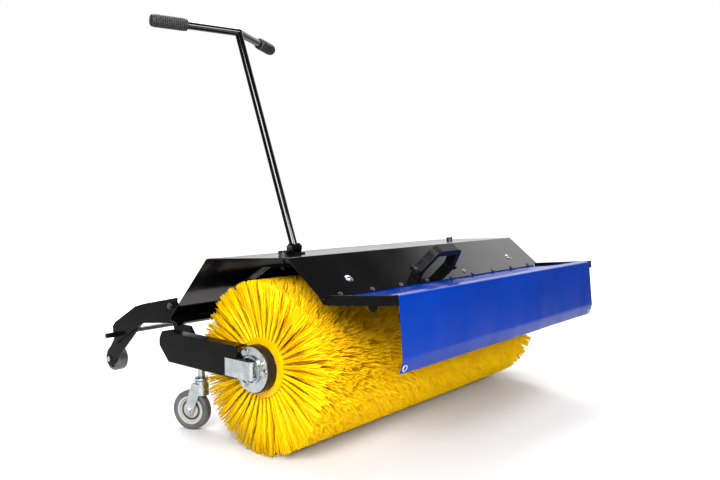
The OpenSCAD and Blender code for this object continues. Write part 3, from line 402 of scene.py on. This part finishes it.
def tuft_stations(ring):
    """One ring's filaments: a tuft's root is a spot on the ring, and each filament runs out from
    it with the tuft's lean and its own, which grow as the square and the 1.5th power of the way
    to the tip. End rings lean outwards."""
    tuft = np.repeat(np.arange(TUFTS), FILAMENTS)
    count = len(tuft)
    row = np.where(tuft % 2 == 0, -TUFT_ROWS, TUFT_ROWS)
    lean = np.array([rng.normal(0, TUFT_LEAN, TUFTS), rng.normal(0, TUFT_DRIFT, TUFTS)])[:, tuft]
    angle = (2 * pi * tuft / TUFTS + rng.uniform(-ROOT_SPREAD, ROOT_SPREAD, count)
             + RING_STAGGER * ring)
    spin = lean[0] + rng.normal(0, FILAMENT_LEAN, count)
    from_end = min(ring, RINGS - 1 - ring)
    end_side = -1 if ring < RINGS / 2 else 1
    flare = rng.uniform(*END_FLARES[from_end], count) if from_end < len(END_FLARES) else 0
    drift = lean[1] + rng.normal(0, FILAMENT_DRIFT, count) + end_side * flare
    centre = ring_low[0] + (ring + 0.5) * ring_pitch
    tip_radius = brush_radius - TIP_GAP - CUT_UNEVEN * rng.uniform(0, 1, count) ** 3
    made = []
    for way in (0.0, 0.5, 1.0):
        radius = ROOT_RADIUS + (tip_radius - ROOT_RADIUS) * way
        turn = angle + spin * way * way
        along_x = (centre + row + rng.normal(0, WAVER, count) + drift * way ** 1.5
                   - row * ROW_CLOSING * way)
        made.append(np.stack([np.clip(along_x, ring_low[0] - END_REACH, ring_high[0] + END_REACH),
                              brush_middle[1] + radius * np.cos(turn),
                              brush_middle[2] + radius * np.sin(turn)], axis=1))
    shade = (rng.normal(SHADE, TUFT_SHADE, TUFTS)[tuft] + rng.normal(0, FILAMENT_SHADE, count))
    shade = np.clip(shade, 0.02, 0.98)
    return np.stack(made, axis=1), shade


for run in range(RUNS):
    rings = range(run * RINGS // RUNS, (run + 1) * RINGS // RUNS)
    stations, shades = zip(*[tuft_stations(ring) for ring in rings])
    name = f"bristle_run_{run + 1}"
    mesh = filament_mesh(name, np.concatenate(stations), np.concatenate(shades))
    mesh.materials.append(bristle_plastic)
    bristles = bpy.data.objects.new(name, mesh)
    bpy.context.scene.collection.objects.link(bristles)
    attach(bristles, "brush")
    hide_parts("bristles")

# ---- Tarpaulin flap ----
# One piece of blue coated tarpaulin: clamped under the hood's front edge by screws, laid over the
# bracket frame and folded down over the front bar, where it hangs as a curtain.
SHEET_THICK = 0.0011
FRONT_SLOPE = radians(45.5)
FOLD_RADIUS, FOLD_STEPS = 0.004, 8
LAP, EDGE_GAP = 0.017, 0.0001
OVER_BAR, BEFORE_BAR, BAR_DEPTH = 0.0012, 0.0008, 0.027
PATH_POINTS, WIDTH_POINTS = 150, 260
BELLY, BELLY_AT = 0.014, 0.82
TUCK, TUCK_FROM, TUCK_LENGTH = 0.010, 0.80, 0.2
SAG = 0.0035
# Each wave's height, length, phase and how far its phase turns down or across the sheet
CURTAIN_WAVES = ((0.0010, 0.47, 0.8, 0), (0.0006, 0.21, 2.1, 1.5), (0.0003, 0.089, 1.0, 2))
TOP_WAVES = ((0.0016, 0.21, 0, 3), (0.0009, 0.083, 0, 5), (0.0007, 0.047, 0, 9))
top_low, top_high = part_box("tarp_top")
drop_low, drop_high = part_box("tarp_curtain")
bar_box_low, bar_box_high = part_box("flap_bar")
hood_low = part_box("hood")[0]


def rounded_path(corners, radius):
    """Points along straight runs, each corner between them replaced by an arc of the radius."""
    path = [corners[0]]
    for before, here, after in zip(corners, corners[1:], corners[2:]):
        back, on = before - here, after - here
        back, on = back / np.hypot(*back), on / np.hypot(*on)
        half = np.arccos(np.clip(back @ on, -1, 1)) / 2
        middle = here + (back + on) / np.hypot(*(back + on)) * radius / sin(half)
        start = here + back * radius / tan(half) - middle
        stop = here + on * radius / tan(half) - middle
        turn = np.arctan2(start[0] * stop[1] - start[1] * stop[0], start @ stop)
        for part in np.linspace(0, turn, FOLD_STEPS):
            path.append(middle + start * cos(part) + np.array([-start[1], start[0]]) * sin(part))
    return np.array(path + [corners[-1]])


def resample(path, count):
    """The path's points spaced evenly by length, and its length."""
    gone = np.concatenate([[0], np.cumsum(np.hypot(*np.diff(path, axis=0).T))])
    even = np.linspace(0, gone[-1], count)
    points = np.stack([np.interp(even, gone, path[:, 0]), np.interp(even, gone, path[:, 1])], axis=1)
    return points, gone[-1]


plate_end = np.array([hood_low[1] + EDGE_GAP, top_low[2] + OVER_BAR])
lap_end = plate_end + LAP * np.array([cos(FRONT_SLOPE), sin(FRONT_SLOPE)])
fold = np.array([bar_box_low[1] - BEFORE_BAR, bar_box_high[2] + OVER_BAR])
bar_rear = np.array([bar_box_low[1] + BAR_DEPTH, fold[1]])
hem_end = np.array([fold[0], drop_low[2]])
corners = [lap_end, plate_end, bar_rear, fold, hem_end]
profile, tarp_length = resample(rounded_path(corners, FOLD_RADIUS), PATH_POINTS)
tarp_x = np.linspace(top_low[0], top_high[0], WIDTH_POINTS)


def waves(rows, x, way):
    """The sum of height times sin(2 pi x / length + phase + turn times way) over the rows."""
    return sum(height * np.sin(2 * pi * x / length + phase + turn * way)
               for height, length, phase, turn in rows)


def curtain_swell(x, fallen):
    """How far the curtain stands out from straight down: a straight lean that is fullest at four
    fifths of the drop and tucks back in at the lower edge, with slow waves that grow downwards."""
    lean = BELLY * np.clip(fallen / BELLY_AT, 0, 1)
    tuck = TUCK * np.clip((fallen - TUCK_FROM) / TUCK_LENGTH, 0, 1) ** 1.4
    return lean - tuck + waves(CURTAIN_WAVES, x, fallen) * np.clip(fallen, 0, 1) ** 1.3


def curtain_point(x, fallen):
    """The curtain's point at x, the fraction fallen of the way from the fold to the lower edge."""
    height = fold[1] + (hem_end[1] - fold[1]) * fallen
    return np.stack([x, fold[0] - curtain_swell(x, fallen), height], axis=-1)


across_x, row = np.meshgrid(tarp_x, np.arange(len(profile)), indexing="ij")
base_y, base_z = profile[row, 0], profile[row, 1]
drop = fold[1] - hem_end[1]
in_front = base_y < fold[0] + 0.001
fallen = np.clip((fold[1] - base_z) / drop, 0, 1) * in_front
spanned = np.clip((base_y - plate_end[0]) / (bar_rear[0] - plate_end[0]), 0, 1) * (fallen == 0)
sag = np.sin(pi * spanned) * (waves(TOP_WAVES, across_x, spanned) - SAG)
tarp_points = np.stack([across_x, base_y - curtain_swell(across_x, fallen), base_z + sag], axis=-1)


def grid_mesh(name, points, closed=False):
    """A sheet of quads over a grid of points, joined round the second direction when closed."""
    rows, columns = points.shape[:2]
    index = np.arange(rows * columns).reshape(rows, columns)
    if closed:
        index = np.concatenate([index, index[:, :1]], axis=1)
    quads = np.stack([index[:-1, :-1], index[:-1, 1:], index[1:, 1:], index[1:, :-1]], axis=-1)
    mesh = bpy.data.meshes.new(name)
    mesh.from_pydata(points.reshape(-1, 3), [], quads.reshape(-1, 4).tolist())
    mesh.polygons.foreach_set("use_smooth", np.ones(len(mesh.polygons), bool))
    return mesh


def add_piece(name, mesh, made, body, slot_name, *nodes):
    """Puts the mesh in the scene as a piece on a body, in place of the named CAD nodes."""
    mesh.materials.append(made)
    piece = bpy.data.objects.new(name, mesh)
    bpy.context.scene.collection.objects.link(piece)
    if nodes:
        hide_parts(*nodes)
    if body:
        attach(piece, body)
    return piece


tarp_plastic, tree, shader = finish("blue_coated_tarpaulin", (0.0, 0.030, 0.36), 0.2)
tint(tree, shader, noise(tree, 5, 3), (0.0, 0.020, 0.20), (0.0, 0.025, 0.235))
shader.inputs["Specular IOR Level"].default_value = 0.18
roughen(tree, shader, noise(tree, 12, 4), 0.10, 0.20)
relief(tree, shader, noise(tree, 7, 3, stretch=(1, 1.6, 1.6)), 0.0012)
tarp = add_piece("tarpaulin", grid_mesh("tarpaulin", tarp_points), tarp_plastic, None,
                 "tarpaulin", "tarp_top", "tarp_curtain")
wall = tarp.modifiers.new("sheet", "SOLIDIFY")
wall.thickness, wall.offset = SHEET_THICK, 0.0
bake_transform(tarp)

# ---- Eyelets ----
# A rolled steel ring, zinc plated and pressed through the sheet at each lower corner of the
# curtain, where the flap can be tied.
EYELET_IN, EYELET_OUT, EYELET_RISE = 0.005, 0.0105, 0.0016
EYELET_STEPS = (32, 12)
LOOK_DOWN = 0.03
grommet_low, grommet_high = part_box("grommets")
eyelet_inset = grommet_low[0] + EYELET_OUT - tarp_x[0]
eyelet_fall = (fold[1] - (grommet_low[2] + grommet_high[2]) / 2) / drop


def ring_grid(turns, sections):
    """The angle round a ring and the angle round its section at each point of its surface."""
    return np.meshgrid(np.linspace(0, 2 * pi, turns + 1)[:-1],
                       np.linspace(0, 2 * pi, sections + 1)[:-1], indexing="ij")


def ring_mesh(name, points):
    """A ring's surface, brought back round to its first section."""
    return grid_mesh(name, np.concatenate([points, points[:1]]), closed=True)


def eyelet_mesh(name, x):
    """A ring whose section is an ellipse, set square to the curtain at x."""
    turn, section = ring_grid(*EYELET_STEPS)
    reach = (EYELET_IN + EYELET_OUT) / 2 + (EYELET_OUT - EYELET_IN) / 2 * np.cos(section)
    centre = curtain_point(np.array(x), np.array(eyelet_fall))
    lean = curtain_point(np.array(x), np.array(eyelet_fall + LOOK_DOWN)) - centre
    sideways = np.array((1.0, 0, 0))
    down = lean / np.linalg.norm(lean)
    out = np.cross(down, sideways)
    spoke = np.cos(turn)[..., None] * sideways + np.sin(turn)[..., None] * down
    return ring_mesh(name, centre + reach[..., None] * spoke
                     + (EYELET_RISE * np.sin(section))[..., None] * out)


for side, x in {"left": tarp_x[0] + eyelet_inset, "right": tarp_x[-1] - eyelet_inset}.items():
    add_piece(f"eyelet_{side}", eyelet_mesh(f"eyelet_{side}", x), zinc, "flap", "zinc", "grommets")

# ---- Grips ----
# Moulded rubber sleeves pushed on the bar's ends, knurled by rings and lengthwise grooves, with a
# smooth collar at the mouth and a domed end.
GRIP_RADIUS, BAR_RADIUS = 0.019, 0.012
BAR_SWEEP, BAR_TURN = radians(21.0), radians(4.8)
GRIP_HEADINGS = {"left": pi - BAR_SWEEP + BAR_TURN, "right": BAR_SWEEP + BAR_TURN}
GRIP_RINGS, GRIP_GROOVES = 17, 26
RING_RISE, GROOVE_RISE = 0.0007, 0.0005
GRIP_UNDER, GRIP_POLE = 0.0006, 0.0005
COLLAR, DOME, DOME_DROP = 0.02, 0.35, 0.007
SMOOTH_MOUTH, SMOOTH_EDGE = 0.07, 40
GRIP_LENGTH_POINTS, GRIP_ROUND_POINTS = 130, 130

rubber, tree, shader = finish("grip_rubber", (0.012, 0.012, 0.0125), 0.5)
shader.inputs["Specular IOR Level"].default_value = 0.3
tint(tree, shader, noise(tree, 90, 4), (0.009, 0.009, 0.0095), (0.018, 0.018, 0.019))
relief(tree, shader, noise(tree, 900, 3), 0.00006)


def grip_mesh(name, middle, heading, length):
    """A turned sleeve: its radius rises from the tube to a collar, carries rings and grooves, and
    closes in a quarter round. The rings are a sine along it, and the grooves a sine round it."""
    way, turn = np.meshgrid(np.linspace(0, 1, GRIP_LENGTH_POINTS),
                            np.linspace(0, 2 * pi, GRIP_ROUND_POINTS + 1)[:-1], indexing="ij")
    collar = np.clip(way / COLLAR, 0, 1)
    dome_start = 1 - GRIP_RADIUS * DOME / length
    dome = np.sqrt(np.clip(1 - (np.clip(way - dome_start, 0, 1) / (1 - dome_start)) ** 2, 0, 1))
    textured = (np.clip((way - SMOOTH_MOUTH) * SMOOTH_EDGE, 0, 1)
                * np.clip((1 - SMOOTH_MOUTH - way) * SMOOTH_EDGE, 0, 1))
    knurl = (RING_RISE * np.sin(2 * pi * GRIP_RINGS * way)
             + GROOVE_RISE * np.cos(GRIP_GROOVES * turn))
    radius = (BAR_RADIUS + (GRIP_RADIUS - GRIP_UNDER - BAR_RADIUS) * np.sqrt(collar)
              + knurl * textured)
    radius = np.where(way > dome_start, radius - DOME_DROP + DOME_DROP * dome, radius)
    radius[-1] = GRIP_POLE
    on = np.array((cos(heading), sin(heading), 0.0))
    side = np.array((-sin(heading), cos(heading), 0.0))
    spoke = np.cos(turn)[..., None] * side + np.sin(turn)[..., None] * np.array((0, 0, 1.0))
    points = middle + ((way - 0.5) * length)[..., None] * on + radius[..., None] * spoke
    return grid_mesh(name, points, closed=True)


for side, heading in GRIP_HEADINGS.items():
    low, high = (np.array(corner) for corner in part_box(f"grip_{side}"))
    length = (high[0] - low[0] - 2 * GRIP_RADIUS * abs(sin(heading))) / abs(cos(heading))
    name = f"ribbed_grip_{side}"
    add_piece(name, grip_mesh(name, (low + high) / 2, heading, length), rubber, "handle",
              "grip_rubber", f"grip_{side}")

# ---- Casters ----
# Grey non-marking rubber moulded on a light plastic centre, in a zinc fork with a blue dust seal
# between the fork and the kingpin's head.
tyre_rubber, tree, shader = finish("grey_tyre_rubber", (0.075, 0.075, 0.078), 0.55)
tint(tree, shader, noise(tree, 40, 4), (0.062, 0.062, 0.064), (0.09, 0.09, 0.093))
relief(tree, shader, noise(tree, 700, 3), 0.00006)
dress(tyre_rubber, "caster_tyre_left", "caster_tyre_right")

# The wheel's centre by distance from its axle: a cream disc that darkens towards its edge, a groove
# round it painted near black as the shade that falls in it, and a pale rim under the tyre
CENTRE_REACH = 0.06
CENTRE_RINGS = ((0.0, (0.46, 0.445, 0.41)), (0.026, (0.36, 0.345, 0.31)),
                (0.0275, (0.03, 0.029, 0.027)), (0.033, (0.04, 0.039, 0.037)),
                (0.0345, (0.40, 0.39, 0.36)), (CENTRE_REACH, (0.36, 0.35, 0.33)))
for side in ("left", "right"):
    made, tree, shader = finish(f"wheel_centre_plastic_{side}", (0.4, 0.39, 0.36), 0.4)
    hub_low, hub_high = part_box(f"caster_hub_{side}")
    place, reach = tree.nodes.new("ShaderNodeTexCoord"), tree.nodes.new("ShaderNodeVectorMath")
    ramp = tree.nodes.new("ShaderNodeValToRGB")
    reach.operation = "DISTANCE"
    reach.inputs[1].default_value = (Vector(hub_low) + Vector(hub_high)) / 2
    scaled = ranged(tree, 0.0, CENTRE_REACH, 0.0, 1.0, "LINEAR")
    for _ in CENTRE_RINGS[2:]:
        ramp.color_ramp.elements.new(0.5)
    for stop, (_, colour) in zip(ramp.color_ramp.elements, CENTRE_RINGS):
        stop.color = (*colour, 1)
    for stop, (radius, _) in zip(ramp.color_ramp.elements, CENTRE_RINGS):
        stop.position = radius / CENTRE_REACH
    chain(tree, (place.outputs["Object"], reach.inputs[0]),
          (reach.outputs["Value"], scaled.inputs["Value"]),
          (scaled.outputs["Result"], ramp.inputs["Fac"]),
          (ramp.outputs["Color"], shader.inputs["Base Color"]))
    relief(tree, shader, noise(tree, 500, 3), 0.00005, 0.001)
    dress(made, f"caster_hub_{side}")

seal_plastic, tree, shader = finish("blue_seal_plastic", (0.01, 0.11, 0.30), 0.35)
relief(tree, shader, noise(tree, 600, 2), 0.00003)
SEAL_RADIUS, SEAL_THICK, SEAL_TALL = 0.0212, 0.0016, 1.2
SEAL_STEPS = (48, 12)
HEAD_INSET, SEAL_LIFT = 0.022, 0.001
stems_low, stems_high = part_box("caster_stems")
head_x = {"left": stems_low[0] + HEAD_INSET, "right": stems_high[0] - HEAD_INSET}


def seal_mesh(name, centre):
    """A level ring with an upright ellipse for its section, round the swivel's axis."""
    turn, section = ring_grid(*SEAL_STEPS)
    reach = SEAL_RADIUS + SEAL_THICK * np.cos(section)
    rise = SEAL_THICK * SEAL_TALL * np.sin(section)
    return ring_mesh(name, centre + np.stack([reach * np.cos(turn), reach * np.sin(turn), rise],
                                             axis=-1))


for side in ("left", "right"):
    fork_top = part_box(f"caster_fork_{side}")[1][2]
    head = np.array((head_x[side], (stems_low[1] + stems_high[1]) / 2, fork_top + SEAL_LIFT))
    name = f"swivel_seal_{side}"
    add_piece(name, seal_mesh(name, head), seal_plastic, f"caster_{side}", "black_plastic")

# ---- Hitch rollers ----
# Dark grey moulded nylon rollers at the rear ends of the hitch arms.
roller_nylon, tree, shader = finish("roller_grey_nylon", (0.055, 0.055, 0.058), 0.4)
tint(tree, shader, noise(tree, 50, 4), (0.045, 0.045, 0.047), (0.075, 0.075, 0.078))
relief(tree, shader, noise(tree, 500, 3), 0.00005, 0.0012)
dress(roller_nylon, "roller_left", "roller_right")

# ---- Sizes ----
low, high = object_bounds()
